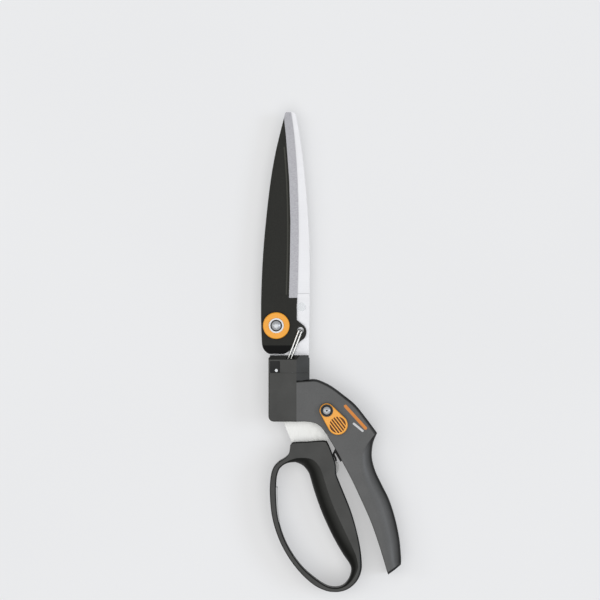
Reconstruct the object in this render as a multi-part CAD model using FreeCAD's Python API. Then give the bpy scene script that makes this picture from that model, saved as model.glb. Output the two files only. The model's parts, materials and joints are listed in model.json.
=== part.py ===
import FreeCAD, Part
import math
import os

# Grass shears with a swivelling blade head, in millimetres.
# They lie flat: X across, Y along the blades, Z up through the thickness.
# The origin is under the swivel axis, on the plane of the housing's flat lower face.

# ---- driving dimensions ----
THICK = 27.0            # housing and palm handle, through Z
MID = THICK / 2         # split plane of the shells, and height of the swivel axis
WALL = 2.5              # shell walls
RUNNING = 0.05          # radial clearance of running fits
SIDE_PLAY = 0.35        # free space above and below the steel tang

# swivel head and the housing below it
BLOCK_HALF = 15.4       # half width of the head and of the swivel collar
FLAT_EDGE = 5.6         # X where the flat front ends and the sloping face begins
SLOPE_DROP = 5.0        # how far the sloping face falls
HOUSING_LOW = -18.5     # Y of the housing's lower face
HOUSING_CORNER_R = 4.0  # its lower left corner
COLLAR_LOW = 12.3       # Y where the swivel collar meets the palm handle
HEAD_LOW = 18.0         # Y of the seam between housing and head
HEAD_TOP = 31.0         # Y of the head's top
HEAD_BAND = 3.0         # sloping band along the head's top edge, in Y
BAND_DROP = 1.8         # and in Z
HEAD_CORNER = 2.0       # cut off the head's upper corners
RECESS_DEPTH = 1.0      # square recess round the head's pin
SEAM = 0.12             # play between the head and the housing

# blades
BLADE_THICK = 2.2
LOWER_BLADE_TOP = MID
LOWER_BLADE_LOW = MID - BLADE_THICK
UPPER_BLADE_LOW = MID + 0.05
UPPER_BLADE_TOP = UPPER_BLADE_LOW + 2.35
BEVEL_FALL = 1.3        # drop of the ground bevel at the cutting edge
PANEL_DEPTH = 0.3       # sunk panel on the coated blade, and the groove beside its rib
RIB_LEFT = 2.6          # rib between panel and groove, measured left from the start of the bevel
RIB_RIGHT = 1.5
GROOVE_RIGHT = 0.5
UNDER_BEVEL = 3.4       # width of the bevel ground under the lower blade
PIVOT = (-9.6, 53.5)    # blade pivot
EYE = (8.6, 50.0)       # link's hole in the upper blade
LUG = (-2.2, 21.5)      # link's hole in the slider
LINK_HOLE_R = 2.4
GLIDE = (9.4, 67.5)     # round stud in the lower blade
GLIDE_R = 3.3
GLIDE_RISE = 1.2        # its dome on the lower side
DOWELS = [(-9.5, 25.0), (9.5, 25.0)]
DOWEL_R = 1.6
HEAD_PIN = (-9.5, 19.9)
HEAD_PIN_R = 1.1

# stack of the blade pivot, from the nut up
NUT_LOW = 7.3
NUT_R = 7.2             # to the corners
WAVE_LOW = UPPER_BLADE_TOP + 0.1
WAVE_R = 7.5
DISC_LOW = 16.7
DISC_R = 10.0
WASHER_LOW = 19.6
WASHER_R = 5.6
BOLT_HEAD_LOW = 20.4
BOLT_HEAD_R = 4.4
BOLT_HEAD_RISE = 2.2
BOLT_R = 4.0
BOLT_TIP = 1.2          # bolt below the nut
BUSH_R = 6.0

# swivel: places along Y and radii about the axis
SPINDLE_LOW = 7.0
SPINDLE_TAIL_R = 6.5
SPINDLE_R = 7.25
SPINDLE_BORE_R = 4.8
FLANGE = (9.3, 12.5)
FLANGE_R = 9.75
FLANGE_ROOM = 0.6       # radial space round the flange
HEAD_FLANGE = (18.3, 20.6)
HEAD_FLANGE_R = 9.0
BEARING = (12.7, 16.6)
BEARING_R = 10.5
BALL_R = 1.2            # detent ball
BALL_X = -10.3
BALL_Y = 10.9
DETENT_COIL_R = 1.1
DETENT_COIL_BORE = 0.6
DETENT_COIL_LONG = 3.0

# pull rod, slider and link
ROD_R = 4.5
ROD_LOW = -8.3
ROD_TOP = 8.6
ROD_BORE_TOP = 15.9
FORK_TOP = 0.9          # Y where the rod's fork ends
STEM_R = 2.5
STEM_LOW = 3.9
STEM_TOP = 18.9
BUTTON = (3.7, 6.1)     # turning button of the slider, along Y
BUTTON_R = 3.5
SOCKET = (3.4, 6.4)     # its socket in the rod
SOCKET_R = 3.8
LUG_LOW = 13.75         # Z of the lug plate
LUG_HIGH = 15.95
LUG_R = 3.4
SLOT_LOW = 16.3         # Y where the link slot starts
SLOT_TOP = 18.7         # Z of its roof
LINK_WIRE_R = 0.75
LINK_HALF = 1.1         # from the link's centre line to each strand
LINK_BEND_R = 1.0
LINK_LEVEL = 17.0

# handles
HINGE = (24.0, -1.0)    # pin between the two handles
HINGE_PIN_R = 3.0
HINGE_BOSS_R = 5.4
DRIVE = (0.0, -4.5)     # tang's drive pin
DRIVE_PIN_R = 1.75
DRIVE_PIN_LOW = 9.4
DRIVE_SLOT_R = 1.9
DRIVE_SLOT_HALF = 0.4   # half of the pin's sideways travel
TANG_THICK = 2.5
TANG_LOW = MID - TANG_THICK / 2
TANG_HIGH = TANG_LOW + TANG_THICK
GRIP_LOW = 3.5
GRIP_TOP = 23.5
GRIP_RIM_R = 3.0
PALM_RIM_R = 2.5
PALM_END = ((84.4, -125.6), (74.3, -133.3))
CAP_DEPTH = 1.6         # thickness of the end cap
CAP_INSET = 0.4         # how far its faces lie below the shells'

# shell screws, driven up from the lower side
SCREWS = [(17, 8.4), (46, -17.5), (56.6, -33), (67.2, -76), (77.0, -113), (-12.1, -13.2), (-12.2, 2.5)]
SCREW_R = 1.25
SCREW_LOW = 0.4
SCREW_TOP = 20.0
SCREW_HEAD_R = 2.3
WELL_R = 2.6            # counterbore
WELL_DEPTH = 2.2
BOSS_R = 2.7

# return spring
WIRE_R = 0.8
COIL_R = 5.4
COIL_LOW = 15.4
COIL_TOP = 21.8

# lock
LOCK = (28.3, -10.1)    # shaft of the lock lever
LOCK_SHAFT_R = 1.6
LOCK_BOSS_R = 4.2
HUB_R = 2.9
HUB_GRIP = 1.6          # how far the hub reaches into the lever
LEVER_LOW = THICK + 0.3
LEVER_TOP = 30.6
LEVER_EYE_R = 5.4
LEVER_END = (36.5, -20.8)
LEVER_END_R = 7.5
DISH_R = 6.1            # ribbed finger recess
DISH_DEPTH = 1.7
RIB_PITCH = 2.0
RIB_HALF = 0.42
RIB_BELOW = 0.25        # rib tops below the lever's face
PAWL_SWING = 35.0
LOCK_WASHER_R = 4.7
LOCK_WASHER_THICK = 0.5
LOCK_HEAD_R = 3.75
LOCK_HEAD_RISE = 2.0
DIMPLE_R = 1.0
DIMPLE_DEPTH = 0.9

X_AXIS = FreeCAD.Vector(1, 0, 0)
Y_AXIS = FreeCAD.Vector(0, 1, 0)
Z_AXIS = FreeCAD.Vector(0, 0, 1)

os.makedirs("parts", exist_ok=True)


# ---- helpers ----
def vec(x, y, z=0.0):
    return FreeCAD.Vector(x, y, z)


def save(name, shape):
    """Write one node as a STEP file."""
    if not shape.isValid():
        shape = shape.copy()
        shape.fix(0.01, 0.01, 0.01)
    print(name, "valid", shape.isValid(), "volume", round(shape.Volume, 1), "solids", len(shape.Solids))
    shape.exportStep("parts/" + name + ".step")


def run_edge(points):
    """A line through two points, or a smooth curve through more."""
    nodes = [vec(x, y) for x, y in points]
    if len(nodes) == 2:
        return Part.LineSegment(nodes[0], nodes[1]).toShape()
    spline = Part.BSplineCurve()
    spline.interpolate(nodes)
    return spline.toShape()


def outline(*runs):
    """Closed wire: each run starts at the last point of the run before it."""
    edges = []
    last = runs[-1][-1]
    for run in runs:
        points = [last] + list(run)
        edges.append(run_edge(points))
        last = points[-1]
    return Part.Wire(edges)


def lines(*points):
    """Closed wire of straight lines."""
    nodes = [vec(x, y) for x, y in points]
    return Part.makePolygon(nodes + nodes[:1])


def closed_curve(points):
    """Smooth closed wire through points."""
    spline = Part.BSplineCurve()
    spline.interpolate(Points=[vec(x, y) for x, y in points], PeriodicFlag=True)
    return Part.Wire(spline.toShape())


def plate(wire, low, high):
    """Solid between two heights."""
    flat = wire.copy()
    flat.translate(vec(0, 0, low))
    return Part.Face(flat).extrude(vec(0, 0, high - low))


def block(x0, x1, y0, y1, z0, z1):
    return Part.makeBox(x1 - x0, y1 - y0, z1 - z0, vec(x0, y0, z0))


def post(spot, radius, low, high):
    """Round bar along Z."""
    return Part.makeCylinder(radius, high - low, vec(spot[0], spot[1], low), Z_AXIS)


def hole(spot, radius):
    """Cutter right through the shears along Z."""
    return post(spot, radius, -THICK, 2 * THICK)


def ring(spot, outer, inner, low, high):
    return post(spot, outer, low, high).cut(hole(spot, inner))


def axle(radius, low, high):
    """Round bar along the swivel axis."""
    return Part.makeCylinder(radius, high - low, vec(0, low, MID), Y_AXIS)


def axle_hole(radius):
    """Cutter right through along the swivel axis."""
    return axle(radius, -100, 100)


def dome(spot, radius, rise, low):
    """Low spherical cap with its flat side at a height."""
    ball_r = (radius * radius + rise * rise) / (2 * rise)
    ball = Part.makeSphere(ball_r, vec(spot[0], spot[1], low + rise - ball_r))
    return ball.common(post(spot, radius, low, low + rise))


def rounded(shape, radius, chosen):
    """Fillet the edges that a test picks: all at once, or else one by one where the shape allows."""
    edges = [edge for edge in shape.Edges if chosen(edge)]
    try:
        result = shape.makeFillet(radius, edges)
        if result.isValid() and result.Volume > 0:
            return result
    except Exception:
        pass
    done = shape
    for edge in edges:
        middle = edge.CenterOfMass
        same_place = [other for other in done.Edges if other.CenterOfMass.distanceToPoint(middle) < 0.4]
        if not same_place:
            continue
        try:
            trial = done.makeFillet(radius, same_place[:1])
        except Exception:
            continue
        if trial.isValid() and 0 < trial.Volume < done.Volume + 1:
            done = trial
    return done


def turned(spot, degrees, shape):
    copy = shape.copy()
    copy.rotate(vec(spot[0], spot[1]), Z_AXIS, degrees)
    return copy


def body_section(low, high):
    """Swivel block with sloping right-hand faces, between two places along Y."""
    points = [(-BLOCK_HALF, 0), (FLAT_EDGE, 0), (BLOCK_HALF, SLOPE_DROP), (BLOCK_HALF, THICK - SLOPE_DROP),
              (FLAT_EDGE, THICK), (-BLOCK_HALF, THICK), (-BLOCK_HALF, 0)]
    wire = Part.makePolygon([vec(x, low, z) for x, z in points])
    return Part.Face(wire).extrude(vec(0, high - low, 0))


FRONT_HALF = block(-60, 130, -180, 260, MID, 60)
BACK_HALF = block(-60, 130, -180, 260, -40, MID)


# ---- blades ----
def upper_blade():
    """Coated moving blade with a ground bevel along its cutting edge."""
    wire = outline(
        [(-2.2, 214.1)],
        [(-3.1, 212.8)],
        [(-5.8, 202), (-9, 189), (-12.7, 170), (-16.6, 140), (-19.2, 112), (-20.6, 87), (-21.1, 62),
         (-20.4, 40.5)],
        [(-18.6, 35), (-15, 32.2)],
        [(-3.75, 32.2)],
        [(2.5, 35.8)],
        [(9.4, 42.4)],
        [(12.6, 46), (12.9, 50.2), (10.4, 54.1)],
        [(5.9, 57.7)],
        [(5.9, 68)],
        [(6.9, 100), (7.1, 132), (6.25, 163), (3.9, 196), (1.4, 214.1)])
    blade = plate(wire, UPPER_BLADE_LOW, UPPER_BLADE_TOP).cut(bevel_cutter())
    for sunk in (panel_wire(), groove_wire()):
        blade = blade.cut(plate(sunk, UPPER_BLADE_TOP - PANEL_DEPTH, UPPER_BLADE_TOP + 1))
    return blade.cut(hole(PIVOT, BUSH_R)).cut(hole(EYE, LINK_HOLE_R))


# ground strip of the upper blade: Y, X where the bevel starts, X of the cutting edge
BEVEL = [(74.4, 0.0, 6.2), (100, 0.7, 6.9), (132, 1.1, 7.1), (163, 0.2, 6.3), (196, -2.3, 3.9),
         (215, -4.3, 1.3)]


def beside_bevel(gap, low_y, high_y):
    """Points that follow the start of the bevel at a distance to its left."""
    low = (BEVEL[0][1] - gap, low_y)
    high = (BEVEL[-2][1] - gap, high_y)
    return [low] + [(start - gap, y) for y, start, edge in BEVEL[1:-2]] + [high]


def panel_wire():
    """Sunk panel that fills the coated face above the pivot."""
    right = beside_bevel(RIB_LEFT, 76.3, 195.0)
    left = [(-6.8, 194.5), (-11.1, 170), (-14.9, 140), (-17.4, 112), (-18.8, 87), (-19.0, 78.3)]
    return outline(right[1:], left[:1], left[1:], [(-17.0, 76.3)], right[:1])


def groove_wire():
    """Narrow groove between the rib and the bevel."""
    left = beside_bevel(RIB_RIGHT, 76.3, 196.0)
    right = beside_bevel(GROOVE_RIGHT, 76.3, 196.0)
    return outline(left[1:], right[-1:], right[-2::-1], left[:1])


def bevel_cutter():
    """Wedge over the ground strip."""
    above = UPPER_BLADE_TOP + 1.1
    wires = []
    for y, start, edge in BEVEL:
        beyond = edge + 1.0
        drop = BEVEL_FALL * (beyond - start) / (edge - start)
        corners = [(start, UPPER_BLADE_TOP), (beyond, UPPER_BLADE_TOP - drop), (beyond, above),
                   (start, above), (start, UPPER_BLADE_TOP)]
        wires.append(Part.makePolygon([vec(x, y, z) for x, z in corners]))
    return Part.makeLoft(wires, True, True)


def under_bevel_cutter():
    """Wedge under the lower blade's cutting edge: Y and X of the edge."""
    stations = [(76, -8.5), (110, -6.6), (150, -5.6), (196, -2.8), (215, 1.6)]
    below = LOWER_BLADE_LOW - 1.0
    wires = []
    for y, edge in stations:
        beyond, end = edge - 1.0, edge + UNDER_BEVEL
        rise = BEVEL_FALL * (end - beyond) / UNDER_BEVEL
        corners = [(end, LOWER_BLADE_LOW), (beyond, LOWER_BLADE_LOW + rise), (beyond, below),
                   (end, below), (end, LOWER_BLADE_LOW)]
        wires.append(Part.makePolygon([vec(x, y, z) for x, z in corners]))
    return Part.makeLoft(wires, True, True)


def lower_blade():
    """Fixed blade whose forked tang is held in the head."""
    wire = outline(
        [(15.4, 62)],
        [(14.8, 29.3)],
        [(14.4, 20.9)],
        [(4.0, 20.9)],
        [(4.0, 26.6)],
        [(0, 28.4), (-4.0, 26.6)],
        [(-4.0, 20.9)],
        [(-14.4, 20.9)],
        [(-14.4, 33)],
        [(-18.4, 41), (-19.6, 50), (-18.6, 60), (-15, 68)],
        [(-8.5, 76)],
        [(-6.6, 110), (-5.6, 150), (-2.8, 196), (1.6, 214)],
        [(4.6, 213.6)],
        [(6.9, 203), (10, 182), (12.6, 156.5), (14.8, 126), (15.5, 100)])
    blade = plate(wire, LOWER_BLADE_LOW, LOWER_BLADE_TOP).cut(under_bevel_cutter())
    blade = blade.cut(hole(PIVOT, BOLT_R + RUNNING)).cut(hole(GLIDE, GLIDE_R))
    for spot in DOWELS:
        blade = blade.cut(hole(spot, DOWEL_R))
    return blade


def pivot_parts():
    """Bolt, disc, washers, nut and bush of the blade pivot."""
    bolt = post(PIVOT, BOLT_R, NUT_LOW - BOLT_TIP, BOLT_HEAD_LOW)
    bolt = bolt.fuse(dome(PIVOT, BOLT_HEAD_R, BOLT_HEAD_RISE, BOLT_HEAD_LOW))
    bore = BOLT_R + RUNNING
    disc = ring(PIVOT, DISC_R, bore, DISC_LOW, WASHER_LOW)
    disc = rounded(disc, 0.9, lambda edge: edge.CenterOfMass.z > WASHER_LOW - 0.1 and edge.Length > 50)
    washer = ring(PIVOT, WASHER_R, bore, WASHER_LOW, BOLT_HEAD_LOW)
    wave = ring(PIVOT, WAVE_R, bore + RUNNING, WAVE_LOW, DISC_LOW)
    corners = []
    for k in range(6):
        angle = math.radians(60 * k)
        corners.append((PIVOT[0] + NUT_R * math.cos(angle), PIVOT[1] + NUT_R * math.sin(angle)))
    nut = plate(lines(*corners), NUT_LOW, LOWER_BLADE_LOW).cut(hole(PIVOT, BOLT_R))
    bush = ring(PIVOT, BUSH_R, bore, UPPER_BLADE_LOW, UPPER_BLADE_TOP)
    return bolt, disc, washer, wave, nut, bush


def glide_button():
    """Round stud, flush with the blade's upper face and domed below."""
    cap = dome((0, 0), GLIDE_R, GLIDE_RISE, 0)
    cap.rotate(vec(0, 0), X_AXIS, 180)
    cap.translate(vec(GLIDE[0], GLIDE[1], LOWER_BLADE_LOW))
    return post(GLIDE, GLIDE_R, LOWER_BLADE_LOW, LOWER_BLADE_TOP).fuse(cap)


# ---- swivel and drive ----
def spindle():
    """Hollow shaft of the head, with a thrust flange and a click groove."""
    body = axle(SPINDLE_TAIL_R, SPINDLE_LOW, FLANGE[0]).fuse(axle(FLANGE_R, *FLANGE))
    body = body.fuse(axle(SPINDLE_R, FLANGE[1], HEAD_FLANGE[0]))
    body = body.fuse(axle(HEAD_FLANGE_R, *HEAD_FLANGE))
    body = body.cut(axle(SPINDLE_BORE_R, 0, ROD_BORE_TOP)).cut(axle_hole(STEM_R + RUNNING))
    body = body.cut(link_slot())
    groove = Part.makeTorus(-BALL_X, BALL_R + 0.2, vec(0, BALL_Y, MID), Y_AXIS)
    return body.cut(groove)


def link_slot():
    """Space that the slider's lug, its stem and the link move in."""
    upper = block(-6.4, 4.5, SLOT_LOW, HEAD_TOP + 5, LUG_LOW - SIDE_PLAY, SLOT_TOP)
    lower = block(-4.4, 2.9, SLOT_LOW, 28.6, 10.7, SLOT_TOP)
    return upper.fuse(lower)


def link_slider():
    """Stem with a turning button below and a lug for the link above."""
    stem = axle(STEM_R, STEM_LOW, STEM_TOP).fuse(axle(BUTTON_R, *BUTTON))
    neck = block(-3.6, 2.4, 16.7, STEM_TOP, 12.0, LUG_HIGH)
    web = block(-3.6, 0.2, 17.5, 19.2, LUG_LOW, LUG_HIGH)
    lug = post(LUG, LUG_R, LUG_LOW, LUG_HIGH)
    return stem.fuse([neck, lug, web]).cut(hole(LUG, LINK_HOLE_R))


def pull_rod():
    """Round rod: a fork for the tang below, a side-loading socket for the button above."""
    rod = axle(ROD_R, ROD_LOW, ROD_TOP)
    rod = rod.cut(block(-6, 6, ROD_LOW - 1, FORK_TOP, TANG_LOW - SIDE_PLAY, TANG_HIGH + SIDE_PLAY))
    rod = rod.cut(axle(SOCKET_R, *SOCKET)).cut(axle(STEM_R + 2 * RUNNING, SOCKET[0], ROD_TOP + 1))
    rod = rod.cut(block(-SOCKET_R, SOCKET_R, *SOCKET, MID, THICK))
    rod = rod.cut(block(-STEM_R - 0.1, STEM_R + 0.1, SOCKET[1] - 0.1, ROD_TOP + 1, MID, THICK))
    low, high = DRIVE[1] - DRIVE_SLOT_R, DRIVE[1] + DRIVE_SLOT_R
    slot = block(-DRIVE_SLOT_HALF, DRIVE_SLOT_HALF, low, high, 0, THICK)
    for side in (-DRIVE_SLOT_HALF, DRIVE_SLOT_HALF):
        slot = slot.fuse(hole((side, DRIVE[1]), DRIVE_SLOT_R))
    return rod.cut(slot)


def wire_link():
    """One closed loop of wire: two straight strands, with both ends hooked downwards."""
    run = (EYE[0] - LUG[0], EYE[1] - LUG[1])
    length = math.hypot(*run)
    below = LINK_LEVEL - LINK_BEND_R
    pieces = []
    for side in (-LINK_HALF, LINK_HALF):
        start = vec(LINK_BEND_R, side, LINK_LEVEL)
        pieces.append(Part.makeCylinder(LINK_WIRE_R, length - 2 * LINK_BEND_R, start, X_AXIS))
        for at, turn in ((LINK_BEND_R, -90), (length - LINK_BEND_R, 90)):
            disc = Part.Face(Part.Wire(Part.makeCircle(LINK_WIRE_R, vec(at, side, LINK_LEVEL), X_AXIS)))
            pieces.append(disc.revolve(vec(at, side, below), Y_AXIS, turn))
    for at in (0, length):
        disc = Part.Face(Part.Wire(Part.makeCircle(LINK_WIRE_R, vec(at, LINK_HALF, below), Z_AXIS)))
        pieces.append(disc.revolve(vec(at, 0, below), X_AXIS, -180))
    link = pieces[0].fuse(pieces[1:])
    link.rotate(vec(0, 0), Z_AXIS, math.degrees(math.atan2(run[1], run[0])))
    link.translate(vec(*LUG))
    return link


def head_blocks(blade):
    """Both halves of the head, clamped on the blade's tang and the spindle."""
    head = body_section(HEAD_LOW + SEAM, HEAD_TOP)
    start, beyond = HEAD_TOP - HEAD_BAND, HEAD_TOP + 1
    for face, outer in ((THICK, THICK - BAND_DROP), (0, BAND_DROP)):
        slope = [(start, face), (beyond, outer), (beyond, face), (start, face)]
        wire = Part.makePolygon([vec(-20, y, z) for y, z in slope])
        head = head.cut(Part.Face(wire).extrude(vec(40, 0, 0)))
    for side in (-1, 1):
        outer, inner = side * BLOCK_HALF, side * (BLOCK_HALF - HEAD_CORNER)
        corner = lines((outer, HEAD_TOP - HEAD_CORNER), (inner, HEAD_TOP), (outer + side, HEAD_TOP + 1))
        head = head.cut(plate(corner, -1, THICK + 1))
    head = head.cut(block(-14.25, -6.75, HEAD_LOW - 1, 27, THICK - RECESS_DEPTH, THICK + 1))
    head = head.cut(block(-2.2, 4.3, 28.4, HEAD_TOP + 1, MID, THICK + 1))
    head = head.cut(axle(HEAD_FLANGE_R, *HEAD_FLANGE)).cut(axle(SPINDLE_R, FLANGE[0], HEAD_FLANGE[1]))
    head = head.cut(link_slot()).cut(blade)
    for pin in head_pins().Solids:
        head = head.cut(pin)
    head = head.cut(post(HEAD_PIN, HEAD_PIN_R + 0.5, THICK - RECESS_DEPTH - 0.6, THICK))
    return head.common(FRONT_HALF), head.common(BACK_HALF)


def head_pins():
    """One visible pin and two dowels through the blade's tang."""
    pins = [post(HEAD_PIN, HEAD_PIN_R, 17.6, THICK - RECESS_DEPTH)]
    pins += [post(spot, DOWEL_R, 5, 22) for spot in DOWELS]
    return Part.makeCompound(pins)


# ---- finger loop ----
def handle_tang():
    """Steel plate: drive arm, hinge eye, lock finger, and the root moulded into the grip."""
    neck = lines((-3.6, -4.5), (-4.4, -18.5), (1.9, -34), (6, -43), (22, -45.5), (30.2, -66), (33.4, -64),
                 (31.5, -50), (27.6, -36), (29.9, -31.5), (27.4, -24), (25.4, -16.4), (25.4, -13.6),
                 (24.2, -13.6), (24.2, -16.4), (19.3, -16.4), (19.3, -4), (24, 4.6), (0, -0.9))
    shape = plate(neck, TANG_LOW, TANG_HIGH)
    shape = shape.fuse([post(HINGE, 5.6, TANG_LOW, TANG_HIGH), post(DRIVE, 3.6, TANG_LOW, TANG_HIGH)])
    return shape.cut(hole(HINGE, HINGE_PIN_R + RUNNING)).cut(hole(DRIVE, DRIVE_PIN_R))


def grip_outer():
    return outline(
        [(27, -32.9)],
        [(29.2, -35), (33, -44), (35, -50), (34.9, -55)],
        [(36, -60), (41.5, -73), (48, -90), (53, -111), (54.6, -125), (50, -139.7), (35, -146.6), (19, -141),
         (0, -120.5), (-10.5, -99), (-14.5, -76), (-12.6, -54.5), (-4.5, -46.3)],
        [(-0.6, -41), (0.8, -35.6)],
        [(2.5, -34.2)])


def grip_inner():
    return closed_curve([
        (3, -49), (12.5, -53), (16, -61), (26, -90.3), (41.5, -120), (46.2, -130), (35, -143), (20, -136.3),
        (1, -115.5), (-8.4, -91), (-9.9, -65), (-6.5, -52.8)])


def loop_grip(steel, leg):
    """Moulded finger loop, thick on the palm side and a thin guard on the other."""
    grip = plate(grip_outer(), GRIP_LOW, GRIP_TOP)

    def outer_rim(edge):
        level = edge.CenterOfMass.z
        return (level < GRIP_LOW + 0.01 or level > GRIP_TOP - 0.01) and edge.Length > 60

    grip = rounded(grip, GRIP_RIM_R, outer_rim)
    grip = grip.cut(plate(grip_inner(), 0, THICK))
    return grip.cut(steel).cut(leg)


def stop_buffer():
    """Soft bump on the grip's palm side."""
    bump = outline(
        [(36.9, -50), (37.6, -53), (35.6, -58)],
        [(33, -58)],
        [(33, -48.8)],
        [(34.6, -48.8)])
    return plate(bump, 9, 18).cut(plate(grip_outer(), GRIP_LOW, GRIP_TOP))


# ---- return spring ----
def rod_chain(points, radius):
    """Bent wire: straight lengths joined by balls."""
    pieces = [Part.makeSphere(radius, points[0])]
    for start, end in zip(points, points[1:]):
        along = end.sub(start)
        pieces.append(Part.makeCylinder(radius, along.Length, start, along))
        pieces.append(Part.makeSphere(radius, end))
    return pieces[0].fuse(pieces[1:])


def spring_leg(route, level, radius):
    """Leg that leaves the coil on its left side."""
    start = (HINGE[0] - COIL_R + WIRE_R, HINGE[1])
    return rod_chain([vec(x, y, level) for x, y in [start] + route], radius)


def palm_leg(radius):
    return spring_leg([(34.7, -38.8), (38.4, -45.4), (40.2, -47.4)], COIL_TOP - WIRE_R, radius)


def loop_leg(radius):
    return spring_leg([(34.2, -39.6), (35.0, -47.0), (33.4, -48.4)], COIL_LOW + WIRE_R, radius)


def return_spring():
    """Torsion spring: the coil as one tube, and its two legs."""
    coil = ring(HINGE, COIL_R, COIL_R - 2 * WIRE_R, COIL_LOW, COIL_TOP)
    return coil.fuse([palm_leg(WIRE_R), loop_leg(WIRE_R)])


# ---- palm handle ----
def palm_outline():
    return outline(
        [(5.6, 12.3)],
        [(14, 12.7), (20, 13), (30, 9), (40, 2), (50, -6.3), (58, -16), (66.3, -27)],
        [(63.2, -35), (62.3, -46), (66.5, -60), (74.3, -75), (80.8, -95), (83.8, -112), PALM_END[0]],
        [PALM_END[1]],
        [(68.8, -115), (60, -90), (48.5, -65), (37, -43), (30, -31)],
        [(26.5, -25.3), (21, -20.2), (13, -18.5)],
        [(5.6, -18.5)])


def palm_cavity():
    return outline(
        [(5.5, 9.6)],
        [(14, 9.9), (19.5, 10), (28, 6.3), (38, -0.8), (47.5, -8.8), (54.5, -17.5), (59.6, -28)],
        [(59.2, -46), (63, -60), (71, -76), (77.5, -96), (80.6, -112), (81.2, -122)],
        [(74.5, -127)],
        [(71.8, -115), (63.2, -90), (51.8, -65), (40.2, -43), (36.5, -36)],
        [(33.2, -31), (28.8, -24.2), (22.6, -17.4), (13, -15.6)],
        [(5.5, -15.6)])


def tang_mouth():
    """Opening along the inner edge that the tang swings in."""
    area = lines((-9.4, -14), (-9.4, -30), (26, -46), (37.0, -42.5), (34, -30), (27, -17), (18, -13))
    return plate(area, TANG_LOW - 2 * SIDE_PLAY, TANG_HIGH + 2 * SIDE_PLAY)


def spring_mouth():
    """Opening that the spring's legs leave through."""
    area = lines((23, -16), (24, -40), (36.6, -42.4), (36.2, -35), (31, -24), (27, -16))
    return plate(area, COIL_LOW - 0.5, COIL_TOP + 0.4)


def end_strip():
    """Everything beyond a line just inside the palm handle's cut end."""
    start, end = vec(*PALM_END[0]), vec(*PALM_END[1])
    along = end.sub(start).normalize()
    inward = vec(along.y, -along.x)
    reach = along * 20
    near = inward * CAP_DEPTH
    far = inward * -30
    corners = [start.sub(reach).add(near), end.add(reach).add(near), end.add(reach).add(far),
               start.sub(reach).add(far)]
    return plate(Part.makePolygon(corners + corners[:1]), -5, THICK + 5)


def shell_screws():
    """Screws with round heads in counterbores."""
    screws = []
    for spot in SCREWS:
        head = post(spot, SCREW_HEAD_R, SCREW_LOW, WELL_DEPTH)
        screws.append(post(spot, SCREW_R, SCREW_LOW + 1.6, SCREW_TOP).fuse(head))
    return Part.makeCompound(screws)


def screw_wells():
    return [post(spot, WELL_R, -1, WELL_DEPTH) for spot in SCREWS]


def handle_pivot_pin():
    return post(HINGE, HINGE_PIN_R, 4.0, THICK - 2.0)


def palm_bosses(outer):
    """Pillars inside the palm handle: for its screws, the hinge pin and the lock."""
    bottom, top = 1.0, THICK - 1.0
    below = TANG_LOW - SIDE_PLAY
    above = COIL_TOP + 0.3
    bosses = [post(spot, BOSS_R, bottom, top).common(outer) for spot in SCREWS if spot[0] > FLAT_EDGE]
    bosses += [post(HINGE, HINGE_BOSS_R, bottom, below), post(HINGE, HINGE_BOSS_R, above, top)]
    bosses += [post(LOCK, LOCK_BOSS_R - 0.2, bottom, below), post(LOCK, LOCK_BOSS_R, above, top)]
    return bosses


def palm_solid():
    """Both palm shells as one hollow body, before the split."""
    outer = plate(palm_outline(), 0, THICK)

    def long_rim(edge):
        level = edge.CenterOfMass.z
        flat = level < 0.01 or level > THICK - 0.01
        return flat and edge.Length > 70

    outer = rounded(outer, PALM_RIM_R, long_rim)
    shell = outer.cut(plate(palm_cavity(), WALL, THICK - WALL))
    shell = shell.fuse(palm_bosses(outer))
    shell = shell.cut(tang_mouth()).cut(spring_mouth()).cut(palm_leg(WIRE_R + 0.35))
    shell = shell.cut(axle(FLANGE_R + FLANGE_ROOM, -4, COLLAR_LOW + 1))
    shell = shell.cut(end_strip()).cut(body_section(COLLAR_LOW, HEAD_LOW)).cut(loop_leg(WIRE_R + 0.3))
    for solid in shell_screws().Solids + [handle_pivot_pin(), lock_screw()] + screw_wells():
        shell = shell.cut(solid)
    return shell.cut(post(LOCK, HUB_R + 0.1, COIL_TOP, THICK + 1))


def end_cap():
    return plate(palm_outline(), CAP_INSET, THICK - CAP_INSET).common(end_strip())


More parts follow.
